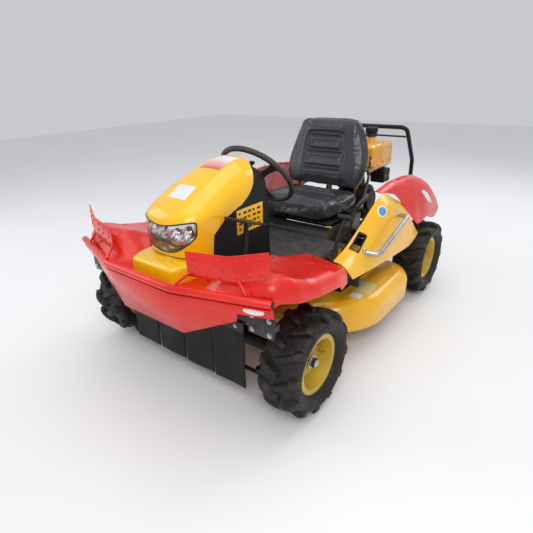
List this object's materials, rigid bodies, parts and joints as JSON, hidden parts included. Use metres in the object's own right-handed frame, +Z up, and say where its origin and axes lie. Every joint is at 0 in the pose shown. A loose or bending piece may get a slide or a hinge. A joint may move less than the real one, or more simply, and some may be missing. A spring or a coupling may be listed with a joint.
{
  "type": "brush mower",
  "caption": "Ride-on four-wheel brush mower with front bumper and leg guards, tilting hood, sliding seat, rear engine and a lifting mid-mounted cutting deck.",
  "frame": {"origin": "on the ground, at the middle of the machine's footprint", "axes": "+Z up, the machine faces -Y, its left side is +X"},
  "size_m": [1.16, 1.8495, 0.962],
  "materials": {
    "red_paint": "gloss",
    "hood_yellow": "gloss",
    "deck_yellow": "gloss",
    "rim_gold": "satin",
    "tank_orange": "gloss",
    "black_paint": "satin",
    "black_plastic": "matte",
    "tyre": "matte",
    "rubber": "satin",
    "lens": "gloss",
    "reflector": "polished",
    "seat_vinyl": "satin",
    "cast_metal": "matte",
    "muffler_steel": "matte",
    "bright_steel": "polished",
    "blade_steel": "satin"
  },
  "bodies": {
    "chassis": {"bumper_tube": "red_paint", "bumper_skirt": "red_paint", "leg_guards": "red_paint", "front_fender_left": "red_paint", "front_fender_right": "red_paint", "front_platform": "red_paint", "rear_fender_left": "red_paint", "rear_fender_right": "red_paint", "nose_box": "hood_yellow", "side_cover_left": "hood_yellow", "side_cover_right": "hood_yellow", "fuel_tank": "tank_orange", "frame": "black_paint", "front_axle_beam": "black_paint", "bumper_brackets": "black_paint", "steering_column": "black_paint", "floor_plate": "black_paint", "seat_base": "black_paint", "rear_guard": "black_paint", "pedal_and_lever_mounts": "black_paint", "cowl": "black_plastic", "engine_shroud": "black_plastic", "air_cleaner": "black_plastic", "rubber_flaps": "rubber", "floor_mat": "rubber", "engine_block": "cast_metal", "transaxle": "cast_metal", "muffler": "muffler_steel", "grab_handles": "bright_steel"},
    "knuckle_left": {"steering_knuckle_left": "black_paint"},
    "knuckle_right": {"steering_knuckle_right": "black_paint"},
    "wheel_front_left": {"front_tyre_left": "tyre", "front_rim_left": "rim_gold"},
    "wheel_front_right": {"front_tyre_right": "tyre", "front_rim_right": "rim_gold"},
    "wheel_rear_left": {"rear_tyre_left": "tyre", "rear_rim_left": "rim_gold"},
    "wheel_rear_right": {"rear_tyre_right": "tyre", "rear_rim_right": "rim_gold"},
    "track_rod": {"tie_rod": "black_paint"},
    "pitman": {"pitman_arm": "black_paint"},
    "steering_wheel": {"steering_wheel": "black_plastic"},
    "hood": {"hood": "hood_yellow", "headlight_lens": "lens", "headlight_reflector": "reflector"},
    "seat": {"seat_pan": "black_paint", "seat_cushion": "seat_vinyl", "seat_back": "seat_vinyl"},
    "front_link": {"front_lift_link": "black_paint"},
    "rear_link": {"rear_lift_link": "black_paint"},
    "deck": {"deck_shell": "deck_yellow", "blade_gearbox": "cast_metal"},
    "blade": {"blade": "blade_steel"},
    "brake_pedal": {"brake_pedal": "black_paint"},
    "travel_pedal": {"travel_pedal": "black_paint"},
    "lift_lever": {"lift_lever": "bright_steel"},
    "clutch_lever": {"clutch_lever": "bright_steel"},
    "ignition_key": {"ignition_key": "bright_steel"},
    "throttle_lever": {"throttle_lever": "black_plastic"},
    "fuel_cap": {"fuel_cap": "black_plastic"}
  },
  "joints": [
    {"name": "steer_left", "type": "hinge", "parent": "chassis", "child": "knuckle_left", "pos_m": [0.355, -0.587, 0.205], "axis": [0, 0, 1], "range_deg": [-28, 28]},
    {"name": "steer_right", "type": "hinge", "parent": "chassis", "child": "knuckle_right", "pos_m": [-0.355, -0.587, 0.205], "axis": [0, 0, 1], "range_deg": [-28, 28]},
    {"name": "track_rod_pivot", "type": "hinge", "parent": "knuckle_left", "child": "track_rod", "pos_m": [0.355, -0.687, 0.14], "axis": [0, 0, 1], "range_deg": [-28, 28]},
    {"name": "pitman_turn", "type": "hinge", "parent": "chassis", "child": "pitman", "pos_m": [0, -0.527, 0.149], "axis": [0, 0, 1], "range_deg": [-28, 28]},
    {"name": "steering_wheel_turn", "type": "hinge", "parent": "chassis", "child": "steering_wheel", "pos_m": [0, -0.227, 0.765], "axis": [0, 0.7641, 0.6451], "range_deg": [-336, 336]},
    {"name": "front_left_spin", "type": "hinge", "parent": "knuckle_left", "child": "wheel_front_left", "pos_m": [0.495, -0.587, 0.205], "axis": [1, 0, 0], "continuous": true},
    {"name": "front_right_spin", "type": "hinge", "parent": "knuckle_right", "child": "wheel_front_right", "pos_m": [-0.495, -0.587, 0.205], "axis": [1, 0, 0], "continuous": true},
    {"name": "rear_left_spin", "type": "hinge", "parent": "chassis", "child": "wheel_rear_left", "pos_m": [0.477, 0.613, 0.205], "axis": [1, 0, 0], "continuous": true},
    {"name": "rear_right_spin", "type": "hinge", "parent": "chassis", "child": "wheel_rear_right", "pos_m": [-0.477, 0.613, 0.205], "axis": [1, 0, 0], "continuous": true},
    {"name": "hood_hinge", "type": "hinge", "parent": "chassis", "child": "hood", "pos_m": [0, -0.787, 0.573], "axis": [1, 0, 0], "range_deg": [0, 50]},
    {"name": "seat_slide", "type": "slide", "parent": "chassis", "child": "seat", "axis": [0, 1, 0], "range_m": [-0.06, 0.06]},
    {"name": "front_link_turn", "type": "hinge", "parent": "chassis", "child": "front_link", "pos_m": [0, -0.107, 0.3], "axis": [1, 0, 0], "range_deg": [-4, 27]},
    {"name": "rear_link_turn", "type": "hinge", "parent": "chassis", "child": "rear_link", "pos_m": [0, 0.343, 0.3], "axis": [1, 0, 0], "range_deg": [-4, 27]},
    {"name": "deck_level", "type": "hinge", "parent": "front_link", "child": "deck", "pos_m": [0, -0.25472, 0.32605], "axis": [1, 0, 0], "range_deg": [-27, 4]},
    {"name": "blade_spin", "type": "hinge", "parent": "deck", "child": "blade", "pos_m": [0, 0.023, 0.144], "axis": [0, 0, 1], "continuous": true},
    {"name": "lift_lever_turn", "type": "hinge", "parent": "chassis", "child": "lift_lever", "pos_m": [0.358, -0.167, 0.415], "axis": [1, 0, 0], "range_deg": [-5.6, 37.8]},
    {"name": "clutch_lever_turn", "type": "hinge", "parent": "chassis", "child": "clutch_lever", "pos_m": [0.358, -0.027, 0.415], "axis": [1, 0, 0], "range_deg": [0, 20]},
    {"name": "brake_pedal_turn", "type": "hinge", "parent": "chassis", "child": "brake_pedal", "pos_m": [0.209, -0.586, 0.476], "axis": [1, 0, 0], "range_deg": [0, 18], "stiffness_Nm_per_rad": 6, "springref_deg": -11.46},
    {"name": "travel_pedal_turn", "type": "hinge", "parent": "chassis", "child": "travel_pedal", "pos_m": [-0.209, -0.586, 0.476], "axis": [1, 0, 0], "range_deg": [-12, 12], "stiffness_Nm_per_rad": 8},
    {"name": "key_turn", "type": "hinge", "parent": "chassis", "child": "ignition_key", "pos_m": [-0.07, -0.358, 0.829], "axis": [0, 0.5942, 0.8043], "range_deg": [0, 90]},
    {"name": "throttle_turn", "type": "hinge", "parent": "chassis", "child": "throttle_lever", "pos_m": [0.07, -0.368, 0.8], "axis": [1, 0, 0], "range_deg": [-8, 8]},
    {"name": "fuel_cap_turn", "type": "hinge", "parent": "chassis", "child": "fuel_cap", "pos_m": [0.122, 0.658, 0.872], "axis": [0, 0, 1], "range_deg": [0, 90]}
  ],
  "couplings": [
    {"joint": "steer_right", "follows": "steer_left", "ratio": 1},
    {"joint": "track_rod_pivot", "follows": "steer_left", "ratio": -1},
    {"joint": "pitman_turn", "follows": "steer_left", "ratio": 1},
    {"joint": "steering_wheel_turn", "follows": "steer_left", "ratio": 12},
    {"joint": "rear_link_turn", "follows": "front_link_turn", "ratio": 1},
    {"joint": "deck_level", "follows": "front_link_turn", "ratio": -1},
    {"joint": "lift_lever_turn", "follows": "front_link_turn", "ratio": 1.4}
  ]
}
